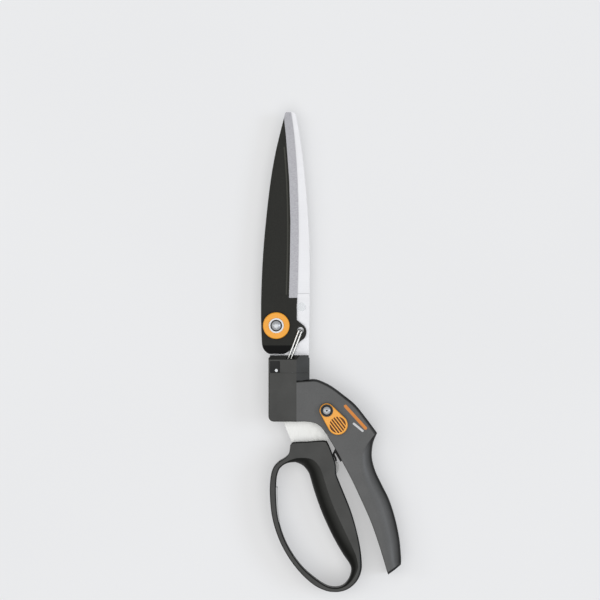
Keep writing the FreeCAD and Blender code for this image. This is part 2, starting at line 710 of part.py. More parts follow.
def cover_solid():
    """Dark block round the swivel, before the split."""
    left = block(-BLOCK_HALF, FLAT_EDGE, HOUSING_LOW, HEAD_LOW, 0, THICK)
    left_side = -BLOCK_HALF + 0.1

    def low_left(edge):
        ends = [vertex.Point for vertex in edge.Vertexes]
        spot = edge.CenterOfMass
        upright = abs(ends[0].z - ends[-1].z) > THICK - 1
        return upright and spot.x < left_side and spot.y < HOUSING_LOW + 0.1

    left = rounded(left, HOUSING_CORNER_R, low_left)
    cover = left.fuse(body_section(COLLAR_LOW, HEAD_LOW)).removeSplitter()

    def side_rim(edge):
        spot = edge.CenterOfMass
        flat = spot.z < 0.01 or spot.z > THICK - 0.01
        return flat and spot.x < left_side and edge.Length > 10

    cover = rounded(cover, 0.9, side_rim)
    room = block(-BLOCK_HALF + WALL, FLAT_EDGE, HOUSING_LOW + WALL, FLANGE[1] + 0.2, WALL, THICK - WALL)
    cover = cover.cut(room).cut(axle(FLANGE_R + FLANGE_ROOM, -4, BEARING[0]))
    for spot in SCREWS:
        if spot[0] < FLAT_EDGE:
            cover = cover.fuse(post(spot, BOSS_R, 1.0, THICK - 1.0))
    stop = block(-BLOCK_HALF + 1, BALL_X - 0.4, BALL_Y - 2.0, BEARING[0] - 0.01, MID - 2.2, MID + 2.2)
    tunnel = Part.makeCylinder(DETENT_COIL_R + 0.2, 5, vec(BALL_X - 4.4, BALL_Y, MID), X_AXIS)
    cover = cover.fuse(stop).cut(tunnel).cut(axle(BEARING_R, *BEARING)).cut(axle(SPINDLE_R + 0.2, 10, 30))
    cover = cover.cut(tang_mouth().common(block(-40, FLAT_EDGE, -40, 40, 0, THICK)))
    for solid in shell_screws().Solids + screw_wells():
        cover = cover.cut(solid)
    return cover


def swivel_bearing():
    return axle(BEARING_R, *BEARING).cut(axle_hole(SPINDLE_R + RUNNING))


def detent():
    """Ball and spring of the swivel's click stop."""
    ball = Part.makeSphere(BALL_R, vec(BALL_X, BALL_Y, MID))
    start = vec(BALL_X - DETENT_COIL_LONG - 1.3, BALL_Y, MID)
    tube = Part.makeCylinder(DETENT_COIL_R, DETENT_COIL_LONG, start, X_AXIS)
    bore = Part.makeCylinder(DETENT_COIL_BORE, DETENT_COIL_LONG, start, X_AXIS)
    return ball, tube.cut(bore)


# ---- lock ----
def lever_plan(reach, heading):
    """Four tangent points that join the lever's small eye to its large end."""
    lean = math.acos((LEVER_EYE_R - LEVER_END_R) / reach)
    corners = []
    for centre, radius, side in ((LOCK, LEVER_EYE_R, 1), (LEVER_END, LEVER_END_R, 1),
                                 (LEVER_END, LEVER_END_R, -1), (LOCK, LEVER_EYE_R, -1)):
        angle = heading + side * lean
        corners.append((centre[0] + radius * math.cos(angle), centre[1] + radius * math.sin(angle)))
    return lines(*corners)


def finger_recess(heading):
    """Round dish less the ribs that stand in it."""
    floor = LEVER_TOP - DISH_DEPTH
    dish = post(LEVER_END, DISH_R, floor, LEVER_TOP + 1)
    for k in range(-2, 3):
        middle = k * RIB_PITCH
        bar = block(-10, 10, middle - RIB_HALF, middle + RIB_HALF, floor - 1, LEVER_TOP - RIB_BELOW)
        bar.rotate(vec(0, 0), Z_AXIS, math.degrees(heading))
        bar.translate(vec(*LEVER_END))
        dish = dish.cut(bar)
    return dish


def lock_lever():
    """Teardrop thumb lever with a ribbed finger recess."""
    run = (LEVER_END[0] - LOCK[0], LEVER_END[1] - LOCK[1])
    heading = math.atan2(run[1], run[0])
    lever = plate(lever_plan(math.hypot(*run), heading), LEVER_LOW, LEVER_TOP)
    lever = lever.fuse([post(LOCK, LEVER_EYE_R, LEVER_LOW, LEVER_TOP),
                        post(LEVER_END, LEVER_END_R, LEVER_LOW, LEVER_TOP)]).removeSplitter()
    lever = rounded(lever, 0.8, lambda edge: edge.CenterOfMass.z > LEVER_TOP - 0.01)
    lever = lever.cut(finger_recess(heading)).cut(post(LOCK, HUB_R, LEVER_LOW - 1, LEVER_LOW + HUB_GRIP))
    return lever.cut(hole(LOCK, LOCK_SHAFT_R + RUNNING))


def lock_pawl():
    """Hub through the upper shell, with an arm and a tooth beside the tang's finger."""
    low, high = TANG_LOW + 0.1, TANG_HIGH - 0.1
    arm = lines((28.3, -12.9), (23.9, -13.2), (23.9, -15.3), (22.2, -15.3), (22.2, -11.4), (28.3, -8.2))
    pawl = turned(LOCK, -PAWL_SWING, plate(arm, low, high)).fuse(post(LOCK, HUB_R, low, LEVER_LOW + HUB_GRIP))
    return pawl.cut(hole(LOCK, LOCK_SHAFT_R + RUNNING))


def lock_screw():
    """Shaft of the lock, with a domed head that has a small dimple."""
    head_low = LEVER_TOP + LOCK_WASHER_THICK + 0.1
    head_top = head_low + LOCK_HEAD_RISE
    screw = post(LOCK, LOCK_SHAFT_R, 5.0, head_low).fuse(dome(LOCK, LOCK_HEAD_R, LOCK_HEAD_RISE, head_low))
    return screw.cut(post(LOCK, DIMPLE_R, head_top - DIMPLE_DEPTH, head_top + 1))


def lock_washer():
    low = LEVER_TOP + 0.1
    return ring(LOCK, LOCK_WASHER_R, LOCK_SHAFT_R, low, low + LOCK_WASHER_THICK)


# ---- all parts ----
def make_blade_head():
    fixed_blade = lower_blade()
    front, back = head_blocks(fixed_blade)
    bolt, disc, washer, wave, nut, bush = pivot_parts()
    save("lower_blade", fixed_blade)
    save("upper_blade", upper_blade())
    save("pivot_bolt", bolt)
    save("pivot_disc", disc)
    save("pivot_washer", washer)
    save("wave_washer", wave)
    save("pivot_nut", nut)
    save("pivot_bush", bush)
    save("glide_button", glide_button())
    save("head_block_front", front)
    save("head_block_back", back)
    save("head_pins", head_pins())
    save("spindle", spindle())
    save("link_slider", link_slider())
    save("pull_rod", pull_rod())
    save("wire_link", wire_link())


def make_finger_loop():
    steel = handle_tang()
    save("handle_tang", steel)
    save("loop_grip", loop_grip(steel, loop_leg(WIRE_R + 0.2)))
    save("drive_pin", post(DRIVE, DRIVE_PIN_R, DRIVE_PIN_LOW, THICK - DRIVE_PIN_LOW))
    save("stop_buffer", stop_buffer())
    save("return_spring", return_spring())


def make_palm_handle():
    palm = palm_solid()
    cover = cover_solid()
    ball, coil = detent()
    save("palm_shell_front", palm.common(FRONT_HALF))
    save("palm_shell_back", palm.common(BACK_HALF))
    save("end_cap", end_cap())
    save("housing_cover_front", cover.common(FRONT_HALF))
    save("housing_cover_back", cover.common(BACK_HALF))
    save("swivel_bearing", swivel_bearing())
    save("detent_ball", ball)
    save("detent_spring", coil)
    save("shell_screws", shell_screws())
    save("handle_pivot_pin", handle_pivot_pin())
    save("lock_screw", lock_screw())
    save("lock_washer", lock_washer())
    save("lock_lever", lock_lever())
    save("lock_pawl", lock_pawl())


make_blade_head()
make_finger_loop()
make_palm_handle()
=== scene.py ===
import json
import math

import bmesh
import bpy
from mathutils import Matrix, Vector


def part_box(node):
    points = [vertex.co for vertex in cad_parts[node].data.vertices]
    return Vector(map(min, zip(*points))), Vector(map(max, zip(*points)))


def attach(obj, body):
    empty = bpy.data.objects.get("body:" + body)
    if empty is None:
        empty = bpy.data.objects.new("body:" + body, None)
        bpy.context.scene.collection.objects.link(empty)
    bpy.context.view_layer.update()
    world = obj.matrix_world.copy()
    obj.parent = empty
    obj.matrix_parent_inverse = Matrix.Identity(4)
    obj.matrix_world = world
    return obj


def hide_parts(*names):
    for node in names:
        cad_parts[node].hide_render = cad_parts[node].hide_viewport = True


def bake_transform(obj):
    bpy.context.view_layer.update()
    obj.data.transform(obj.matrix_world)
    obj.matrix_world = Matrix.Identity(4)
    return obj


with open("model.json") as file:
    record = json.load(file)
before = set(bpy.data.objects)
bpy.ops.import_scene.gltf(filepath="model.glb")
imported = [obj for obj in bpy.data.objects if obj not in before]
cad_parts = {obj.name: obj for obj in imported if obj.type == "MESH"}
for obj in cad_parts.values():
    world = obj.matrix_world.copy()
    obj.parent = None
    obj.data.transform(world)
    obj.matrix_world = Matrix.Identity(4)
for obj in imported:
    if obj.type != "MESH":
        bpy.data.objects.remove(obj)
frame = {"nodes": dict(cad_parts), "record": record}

# Grass shears with a swivelling blade head. Lengths are written in millimetres and turned into
# metres as the meshes are made. X runs across, Y along the blades, Z up from the floor.

MM = 0.001                                      # one millimetre in metres
X, Y, Z = 0, 1, 2                               # places of the coordinates in a vector
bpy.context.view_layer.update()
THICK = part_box("palm_shell_front")[1].z / MM    # top face of the palm handle and the housing
MID = THICK / 2                                 # height of the swivel axis

bpy.context.scene.view_settings.view_transform = "Standard"


def heights(box):
    """Lowest and highest Z of a node's box, in millimetres."""
    low, high = box
    return low.z / MM, high.z / MM


def middle(box):
    """X and Y of the centre of a node's box, in millimetres."""
    low, high = box
    return (low.x + high.x) / 2 / MM, (low.y + high.y) / 2 / MM


# ---------------------------------------------------------------- materials
# Texture scales are in waves per metre along X, Y and Z, so a small number draws lines along that axis.
FINE = (900.0, 900.0, 900.0)
ACROSS_BLADE = (60.0, 2600.0, 2600.0)
ALONG_TANG = (900.0, 130.0, 900.0)
WIRE_GRAIN = (500.0, 500.0, 500.0)

# Reach of a noise's values that a colour ramp runs over.
BROAD = (0.3, 0.7)
PATCHES = (0.35, 0.7)
FLECKS = (0.35, 0.75)

# Sockets of a colour mix node.
MIX_FACTOR, MIX_FIRST, MIX_SECOND, MIX_RESULT = 0, 6, 7, 2


def srgb(red, green, blue):
    """Linear colour from 8-bit display values, by the sRGB standard's own formula."""
    linear = []
    for value in (red, green, blue):
        part = value / 255
        linear.append(part / 12.92 if part <= 0.04045 else ((part + 0.055) / 1.055) ** 2.4)
    return (*linear, 1.0)


class Shader:
    """A node material, with short calls for the nodes that the surfaces need."""

    def __init__(self, name):
        self.mat = bpy.data.materials.new(name)
        self.mat.use_nodes = True
        self.nodes = self.mat.node_tree.nodes
        self.links = self.mat.node_tree.links
        self.bsdf = self.nodes["Principled BSDF"]
        self.coords = self.nodes.new("ShaderNodeTexCoord").outputs["Object"]

    def link(self, source, target):
        self.links.new(source, target)

    def stretched(self, scale):
        """The piece's own coordinates, scaled along each axis."""
        mapping = self.nodes.new("ShaderNodeMapping")
        mapping.inputs["Scale"].default_value = scale
        self.link(self.coords, mapping.inputs["Vector"])
        return mapping.outputs["Vector"]

    def noise(self, scale, detail=2.0, stretch=None):
        """Soft random number that varies over the piece."""
        node = self.nodes.new("ShaderNodeTexNoise")
        node.inputs["Scale"].default_value = scale
        node.inputs["Detail"].default_value = detail
        self.link(self.stretched(stretch) if stretch else self.coords, node.inputs["Vector"])
        return node.outputs["Fac"]

    def ramp(self, source, reach, first, last):
        """Colour that goes from first to last while the source goes through its reach."""
        node = self.nodes.new("ShaderNodeValToRGB")
        for element, position, colour in zip(node.color_ramp.elements, reach, (first, last)):
            element.position = position
            element.color = colour
        self.link(source, node.inputs["Fac"])
        return node.outputs["Color"]

    def shares(self, source, stops):
        """Grey level that runs through (value of the source, level) stops."""
        node = self.nodes.new("ShaderNodeValToRGB")
        elements = node.color_ramp.elements
        while len(elements) < len(stops):
            elements.new(0.5)
        for element, (position, level) in zip(elements, stops):
            element.position = position
            element.color = (level, level, level, 1.0)
        self.link(source, node.inputs["Fac"])
        return node.outputs["Color"]

    def span(self, source, low, high, first, last):
        """Number that goes from first to last while the source goes from low to high."""
        node = self.nodes.new("ShaderNodeMapRange")
        limits = {"From Min": low, "From Max": high, "To Min": first, "To Max": last}
        for socket, value in limits.items():
            node.inputs[socket].default_value = value
        self.link(source, node.inputs["Value"])
        return node.outputs["Result"]

    def compute(self, operation, first, second=0.0):
        """Result of an arithmetic operation; each value is a number or a socket."""
        node = self.nodes.new("ShaderNodeMath")
        node.operation = operation
        for socket, value in zip(node.inputs, (first, second)):
            if isinstance(value, (int, float)):
                socket.default_value = value
            else:
                self.link(value, socket)
        return node.outputs["Value"]

    def mix(self, factor, first, second, blend="MIX"):
        """Colour between first and second; each value is a number, a colour or a socket."""
        node = self.nodes.new("ShaderNodeMix")
        node.data_type = "RGBA"
        node.blend_type = blend
        for number, value in ((MIX_FACTOR, factor), (MIX_FIRST, first), (MIX_SECOND, second)):
            socket = node.inputs[number]
            if isinstance(value, (int, float, tuple)):
                socket.default_value = value
            else:
                self.link(value, socket)
        return node.outputs[MIX_RESULT]

    def split(self, source):
        """X, Y and Z of a vector."""
        node = self.nodes.new("ShaderNodeSeparateXYZ")
        self.link(source, node.inputs[0])
        return node.outputs

    def facing(self, normal="Normal"):
        """Surface normal in the piece's own frame, as X, Y and Z."""
        geometry = self.nodes.new("ShaderNodeNewGeometry")
        turned = self.nodes.new("ShaderNodeVectorTransform")
        turned.vector_type = "NORMAL"
        turned.convert_from = "WORLD"
        turned.convert_to = "OBJECT"
        self.link(geometry.outputs[normal], turned.inputs[0])
        return self.split(turned.outputs[0])

    def bump(self, height, strength, distance):
        """Normal of a surface with fine relief; the distance is its depth in millimetres."""
        node = self.nodes.new("ShaderNodeBump")
        node.inputs["Strength"].default_value = strength
        node.inputs["Distance"].default_value = distance * MM
        self.link(height, node.inputs["Height"])
        return node.outputs["Normal"]


def shade(colour, factor):
    """The same colour, darker or lighter."""
    red, green, blue = colour[:3]
    return (red * factor, green * factor, blue * factor, 1.0)


def plastic(name, colour, roughness, grain=900.0, depth=0.06, vary=0.12, gloss=0.4,
            lean_shade_and_highlight=None, blade_side_shade=None):
    """Moulded plastic: fine grain, faint flow marks and uneven roughness.
    The (uprightness, share) stops paint shade on faces as they lean, and on the palm handle a highlight band:
    a face keeps that share of the colour.
    The share for faces leaning towards the blades paints shade on them."""
    flow_scale, rub_scale = 38.0, 70.0
    uneven = 0.07
    lean_from, lean_to = 0.2, 0.35
    shader = Shader(name)
    speck = shader.noise(grain)
    base = shader.ramp(shader.noise(flow_scale, 3.0), BROAD, shade(colour, 1 - vary), shade(colour, 1 + vary))
    fleck = shader.ramp(speck, FLECKS, shade(colour, 0.9), shade(colour, 1.16))
    skin = shader.mix(0.4, base, fleck)
    facing = shader.facing()
    specular = shader.bsdf.inputs["Specular IOR Level"]
    if lean_shade_and_highlight:
        # Painted shade on faces as they lean off the flat, and a painted highlight band where the stops rise
        # above the flat's share.
        share = shader.shares(shader.compute("ABSOLUTE", facing[Z]), lean_shade_and_highlight)
        skin = shader.mix(1.0, skin, share, "MULTIPLY")
        shader.link(shader.compute("MULTIPLY", share, gloss), specular)
    else:
        specular.default_value = gloss
    if blade_side_shade:
        # Painted shade on faces that lean towards the blades.
        skin = shader.mix(shader.span(facing[Y], lean_from, lean_to, 0.0, 1.0), skin, shade(colour, blade_side_shade))
    rub = shader.span(shader.noise(rub_scale, 4.0), *BROAD, roughness - uneven, roughness + uneven)
    shader.link(skin, shader.bsdf.inputs["Base Color"])
    shader.link(rub, shader.bsdf.inputs["Roughness"])
    shader.link(shader.bump(speck, 0.35, depth), shader.bsdf.inputs["Normal"])
    return shader.mat


def ground_steel(name, colour, roughness, stretch, depth=0.02, metal=1.0, vary=0.12):
    """Bare steel with grinding lines along the long direction of the stretch.
    Gives the shader and its colour, which the caller may mark before it is joined up."""
    patch_scale = 30.0
    smoother, rougher = 0.06, 0.1
    shader = Shader(name)
    lines = shader.noise(1.0, 3.0, stretch=stretch)
    dull = shader.ramp(lines, BROAD, shade(colour, 1 - vary), shade(colour, 1 + vary / 2))
    patch = shader.ramp(shader.noise(patch_scale, 3.0), PATCHES, shade(colour, 0.94), shade(colour, 1.03))
    worn = shader.span(lines, *BROAD, roughness - smoother, roughness + rougher)
    shader.link(worn, shader.bsdf.inputs["Roughness"])
    shader.link(shader.bump(lines, 0.3, depth), shader.bsdf.inputs["Normal"])
    shader.bsdf.inputs["Metallic"].default_value = metal
    return shader, shader.mix(0.35, dull, patch)


def steel(*settings, **more):
    """Plain ground steel, with the settings of ground_steel."""
    shader, skin = ground_steel(*settings, **more)
    shader.link(skin, shader.bsdf.inputs["Base Color"])
    return shader.mat


def bare_blade():
    """Ground blade with one faint line scribed across it, and painted shade that darkens its root inside the
    head.
    """
    line, slant, half_width = 77.4 * MM, 0.02, 0.4 * MM
    root = 31.2 * MM
    shader, skin = ground_steel("bare_blade", srgb(205, 205, 207), 0.4, ACROSS_BLADE, metal=0.6, vary=0.08)
    place = shader.split(shader.coords)
    along = shader.compute("SUBTRACT", place[Y], shader.compute("MULTIPLY", place[X], slant))
    away = shader.compute("ABSOLUTE", shader.compute("SUBTRACT", along, line))
    skin = shader.mix(shader.span(away, 0.0, half_width, 0.7, 0.0), skin, srgb(140, 140, 142))
    # Painted shade: the root inside the head is coloured near black.
    shaded_root = shader.compute("LESS_THAN", place[Y], root)
    skin = shader.mix(shaded_root, skin, srgb(34, 33, 31))
    shader.link(skin, shader.bsdf.inputs["Base Color"])
    return shader.mat


def domed_head(name, node, rim, dimple):
    """Bright steel head, with painted shade: black outside the radius of its rim and in the dimple at its
    centre.
    """
    x, y = middle(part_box(node))
    black = srgb(24, 23, 22)
    soft = 0.2 * MM
    shader, skin = ground_steel(name, srgb(192, 194, 196), 0.24, FINE, depth=0.001, metal=0.35, vary=0.05)
    place = shader.split(shader.coords)
    dx = shader.compute("SUBTRACT", place[X], x * MM)
    dy = shader.compute("SUBTRACT", place[Y], y * MM)
    square = shader.compute("ADD", shader.compute("MULTIPLY", dx, dx), shader.compute("MULTIPLY", dy, dy))
    radius = shader.compute("SQRT", square)
    # Painted shade: black outside the rim's radius and in the central dimple.
    skin = shader.mix(shader.span(radius, rim - soft, rim + soft, 0.0, 1.0), skin, black)
    skin = shader.mix(shader.span(radius, dimple - soft, dimple + soft, 1.0, 0.0), skin, black)
    shader.link(skin, shader.bsdf.inputs["Base Color"])
    return shader.mat


# Palm handle: painted shade on its steep sides and a painted highlight band where its rounding begins.
PALM = plastic("palm_plastic", srgb(97, 97, 96), 0.46,
               lean_shade_and_highlight=((0.45, 0.1), (0.76, 0.76), (0.9, 1.0), (0.99, 0.8)))
# Housing: painted shade on its steep sides and on faces leaning towards the blades.
HOUSING = plastic("housing_plastic", srgb(50, 50, 47), 0.46, lean_shade_and_highlight=((0.6, 0.5), (0.85, 1.0)), blade_side_shade=0.35)
# Finger loop: painted shade on its steep finger-side rounding.
GRIP = plastic("grip_plastic", srgb(47, 47, 44), 0.44, lean_shade_and_highlight=((0.79, 0.42), (0.93, 1.0)))
END = plastic("end_plastic", srgb(30, 30, 30), 0.55, gloss=0.22)
ORANGE = plastic("orange_plastic", srgb(248, 168, 46), 0.38, grain=1400.0, depth=0.02, vary=0.04)
BUFFER = plastic("buffer_rubber", srgb(190, 190, 188), 0.6)
ACETAL = plastic("bearing_plastic", srgb(220, 219, 212), 0.4)
BRIGHT = steel("bright_steel", srgb(186, 188, 190), 0.22, FINE, depth=0.001, metal=0.5, vary=0.05)
BOLT = domed_head("pivot_bolt_steel", "pivot_bolt", 3.5 * MM, 0.0)
SCREW = domed_head("lock_screw_steel", "lock_screw", 2.9 * MM, 0.75 * MM)
PLAIN = steel("plain_steel", srgb(190, 190, 186), 0.3, FINE)
WIRE = steel("link_wire", srgb(215, 215, 212), 0.24, WIRE_GRAIN)
TANG = steel("tang_steel", srgb(211, 211, 208), 0.42, ALONG_TANG, metal=0.6, vary=0.17)
BARE = bare_blade()
BRONZE = steel("bush_bronze", srgb(170, 120, 70), 0.35, FINE)
INK_ORANGE = plastic("ink_orange", srgb(214, 130, 42), 0.45, grain=1600.0, depth=0.01, vary=0.06)
INK_WHITE = plastic("ink_white", srgb(205, 205, 205), 0.45, grain=1600.0, depth=0.01, vary=0.04)
BLACK = plastic("dark_steel", srgb(22, 22, 22), 0.4, grain=1500.0)


def coated_blade():
    """Charcoal coating with a painted highlight on the raised rib, bare metal on the ground bevel, and
    painted shade that makes the chamfer at the heel black.
    The bevel is told by its normal, which leans off the flat but isn't a wall's."""
    shader = Shader("coated_blade")
    coat = srgb(34, 34, 30)
    ground = srgb(158, 157, 160)
    heel = 38.6 * MM
    rib_left, rib_start, rib_end = -6.0 * MM, 76.7 * MM, 188.0 * MM
    rib_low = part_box("upper_blade")[1].z - 0.1 * MM
    flat, wall = 0.993, 0.6
    across, along, height = shader.split(shader.coords)
    lean = shader.facing("True Normal")[Z]
    bare = shader.compute("MULTIPLY", shader.compute("LESS_THAN", lean, flat),
                          shader.compute("GREATER_THAN", lean, wall))
    grain = shader.noise(1300.0)
    scratch = shader.noise(1.0, 3.0, stretch=ACROSS_BLADE)
    film = shader.ramp(grain, PATCHES, shade(coat, 0.85), shade(coat, 1.2))
    metal = shader.ramp(scratch, BROAD, shade(ground, 0.8), shade(ground, 1.1))
    shaded_heel = shader.compute("LESS_THAN", along, heel)
    # Painted shade: the heel's chamfer is coloured near black.
    film = shader.mix(shaded_heel, film, srgb(9, 9, 9))
    # Painted highlight: the raised rib's top is coloured three times lighter than the coat.
    rib = shader.compute("GREATER_THAN", height, rib_low)
    for place, side, limit in ((across, "GREATER_THAN", rib_left), (along, "GREATER_THAN", rib_start),
                               (along, "LESS_THAN", rib_end)):
        rib = shader.compute("MULTIPLY", rib, shader.compute(side, place, limit))
    film = shader.mix(rib, film, shade(coat, 3.0))
    shader.link(shader.mix(bare, film, metal), shader.bsdf.inputs["Base Color"])
    shader.link(shader.compute("MULTIPLY", bare, 0.8), shader.bsdf.inputs["Metallic"])
    shader.link(shader.span(bare, 0, 1, 0.42, 0.34), shader.bsdf.inputs["Roughness"])
    shader.link(shader.span(shaded_heel, 0, 1, 0.14, 0.07), shader.bsdf.inputs["Specular IOR Level"])
    shader.link(shader.bump(grain, 0.25, 0.03), shader.bsdf.inputs["Normal"])
    return shader.mat


COATED = coated_blade()


def ribbed_lever():
    """Orange plastic whose sunk grooves are painted brown as shade."""
    shader = Shader("ribbed_orange")
    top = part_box("lock_lever")[1].z
    shade_from, shade_full = 0.6 * MM, 1.0 * MM
    orange = srgb(250, 170, 50)
    speck = shader.noise(1400.0)
    face = shader.ramp(speck, FLECKS, shade(orange, 0.92), shade(orange, 1.06))
    # Painted shade in the grooves, deepening below the top face.
    sunk = shader.span(shader.split(shader.coords)[Z], top - shade_from, top - shade_full, 0.0, 1.0)
    shader.link(shader.mix(sunk, face, srgb(122, 72, 30)), shader.bsdf.inputs["Base Color"])
    shader.link(shader.span(sunk, 0.0, 1.0, 0.36, 0.62), shader.bsdf.inputs["Roughness"])
    shader.link(shader.bump(speck, 0.25, 0.02), shader.bsdf.inputs["Normal"])
    return shader.mat


RIBBED = ribbed_lever()

# Finish of each material slot in the record.
FINISH = {
    "palm_plastic": PALM, "housing_plastic": HOUSING, "grip_plastic": GRIP, "end_plastic": END,
    "orange_plastic": ORANGE, "coated_blade": COATED, "bare_blade": BARE, "tang_steel": TANG,
    "bright_steel": BRIGHT, "link_wire": WIRE, "plain_steel": PLAIN, "dark_steel": BLACK,
    "bush_bronze": BRONZE, "bearing_plastic": ACETAL, "buffer_rubber": BUFFER,
}

# Nodes whose surface is ribbed or carries painted shade have a finish of their own.
SPECIAL = {"lock_lever": RIBBED, "pivot_bolt": BOLT, "lock_screw": SCREW}

# Width of the fine bevel on a node's edges, where they turn by more than the soft angle in degrees.
SOFT_EDGES = {
    "housing_cover_front": 0.5, "housing_cover_back": 0.5, "head_block_front": 0.45, "head_block_back": 0.45,
    "lock_lever": 0.3, "pivot_nut": 0.3, "handle_tang": 0.25, "lower_blade": 0.3, "upper_blade": 0.12,
}
SOFT_STEPS = 3
SOFT_ANGLE = 35


def dress_nodes():
    """Every CAD node takes the finish of its slot, and some a fine bevel that catches the light."""
    slots = {part["node"]: part["material_slot"] for part in frame["record"]["subparts"]}
    for name, node in frame["nodes"].items():
        node.data.materials.clear()
        node.data.materials.append(SPECIAL[name] if name in SPECIAL else FINISH[slots[name]])
        if name in SOFT_EDGES:
            soft = node.modifiers.new("soft_edges", "BEVEL")
            soft.width = SOFT_EDGES[name] * MM
            soft.segments = SOFT_STEPS
            soft.limit_method = "ANGLE"
            soft.angle_limit = math.radians(SOFT_ANGLE)
            soft.harden_normals = False


# ---------------------------------------------------------------- mesh helpers
MERGE = 0.001           # points nearer than this become one
EDGE_STEPS = 9          # samples round a rolled edge
FLAT_STEPS = 5          # and across the flat between two of them


def catmull(points, steps):
    """Smooth open run through points, a Catmull-Rom curve with steps samples between neighbours."""
    samples = []
    last = len(points) - 1
    for i in range(last):
        p0, p1, p2, p3 = points[max(i - 1, 0)], points[i], points[i + 1], points[min(i + 2, last)]
        for k in range(steps):
            t = k / steps
            sample = []
            for a, b, c, d in zip(p0, p1, p2, p3):
                sample.append(0.5 * (2 * b + (c - a) * t + (2 * a - 5 * b + 4 * c - d) * t * t
                                     + (3 * b - a - 3 * c + d) * t * t * t))
            samples.append(tuple(sample))
    samples.append(tuple(points[-1]))
    return samples


def make_piece(name, bm, material, body, smooth=True):
    """Mesh object from a bmesh in millimetres, riding on a body."""
    bmesh.ops.remove_doubles(bm, verts=bm.verts, dist=MERGE)
    bmesh.ops.recalc_face_normals(bm, faces=bm.faces)
    bmesh.ops.scale(bm, vec=(MM, MM, MM), verts=bm.verts)
    mesh = bpy.data.meshes.new(name)
    bm.to_mesh(mesh)
    bm.free()
    piece = bpy.data.objects.new(name, mesh)
    bpy.context.scene.collection.objects.link(piece)
    mesh.materials.append(material)
    for polygon in mesh.polygons:
        polygon.use_smooth = smooth
    if body:
        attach(piece, body)
    return piece


def loft(rings, closed_path=False):
    """Bmesh skinned over rings of equal length; open paths get end faces."""
    bm = bmesh.new()
    rows = [[bm.verts.new(point) for point in ring] for ring in rings]
    count = len(rings[0])
    spans = list(zip(rows, rows[1:]))
    if closed_path:
        spans.append((rows[-1], rows[0]))
    for row, after in spans:
        for k in range(count):
            n = (k + 1) % count
            bm.faces.new((row[k], row[n], after[n], after[k]))
    if not closed_path:
        bm.faces.new(rows[0])
        bm.faces.new(list(reversed(rows[-1])))
    return bm


def rolled_edge(width, depth, turn, steps):
    """Rounded edge as (distance in from the edge, depth below the flat), edge first.
    A turn of 90 degrees runs smoothly into the flat; a smaller one leaves a crease there."""
    full = math.radians(turn)
    arc = []
    for k in range(steps + 1):
        angle = full * k / steps
        arc.append((width * (1 - math.cos(angle)) / (1 - math.cos(full)),
                    depth * (1 - math.sin(angle) / math.sin(full))))
    return arc


def section(inner, outer, low, high, inner_roll, outer_roll):
    """Ring across a handle from its inner edge to its outer edge.
    A roll is (width, depth, turn) of the rounding at that edge, the same above and below."""
    start, end = Vector(inner), Vector(outer)
    width = (end - start).length
    across = (end - start) / width
    centre = (low + high) / 2
    half = (high - low) / 2
    deepest = half - 0.1
    near, far = (rolled_edge(roll, min(depth, deepest), turn, EDGE_STEPS)
                 for roll, depth, turn in (inner_roll, outer_roll))
    top = [(d, half - depth) for d, depth in near]
    flat_from, flat_to = near[-1][0], width - far[-1][0]
    top += [(flat_from + (flat_to - flat_from) * k / FLAT_STEPS, half) for k in range(1, FLAT_STEPS)]
    top += [(width - d, half - depth) for d, depth in reversed(far)]
    profile = top + [(d, -z) for d, z in reversed(top)]
    ring = []
    for d, z in profile:
        spot = start + across * d
        ring.append((spot.x, spot.y, centre + z))
    return ring


def prism(points, low, high):
    """Straight-sided bmesh between two heights."""
    bm = bmesh.new()
    lower = [bm.verts.new((x, y, low)) for x, y in points]
    upper = [bm.verts.new((x, y, high)) for x, y in points]
    bm.faces.new(list(reversed(lower)))
    bm.faces.new(upper)
    for k in range(len(points)):
        n = (k + 1) % len(points)
        bm.faces.new((lower[k], lower[n], upper[n], upper[k]))
    return bm


def circle(x, y, radius, count=28):
    """Outline of a round hole."""
    angles = [2 * math.pi * k / count for k in range(count)]
    return [(x + radius * math.cos(angle), y + radius * math.sin(angle)) for angle in angles]


def carve(piece, cutters):
    """Take bmesh cutters out of a piece."""
    for cutter in cutters:
        tool = make_piece("cutter", cutter, PLAIN, None, smooth=False)
        modifier = piece.modifiers.new("cut", "BOOLEAN")
        modifier.operation = "DIFFERENCE"
        modifier.solver = "EXACT"
        modifier.object = tool
        bpy.context.view_layer.update()
        graph = bpy.context.evaluated_depsgraph_get()
        mesh = bpy.data.meshes.new_from_object(piece.evaluated_get(graph))
        piece.modifiers.clear()
        piece.data = mesh
        bpy.data.objects.remove(tool)


def auto_smooth(piece, degrees):
    """Smooth shading, with edges sharper than an angle kept sharp."""
    mesh = piece.data
    for polygon in mesh.polygons:
        polygon.use_smooth = True
    mesh.set_sharp_from_angle(angle=math.radians(degrees))


# ---------------------------------------------------------------- palm handle
HOUSING_EDGE = 5.6      # X where the housing ends and the palm handle begins

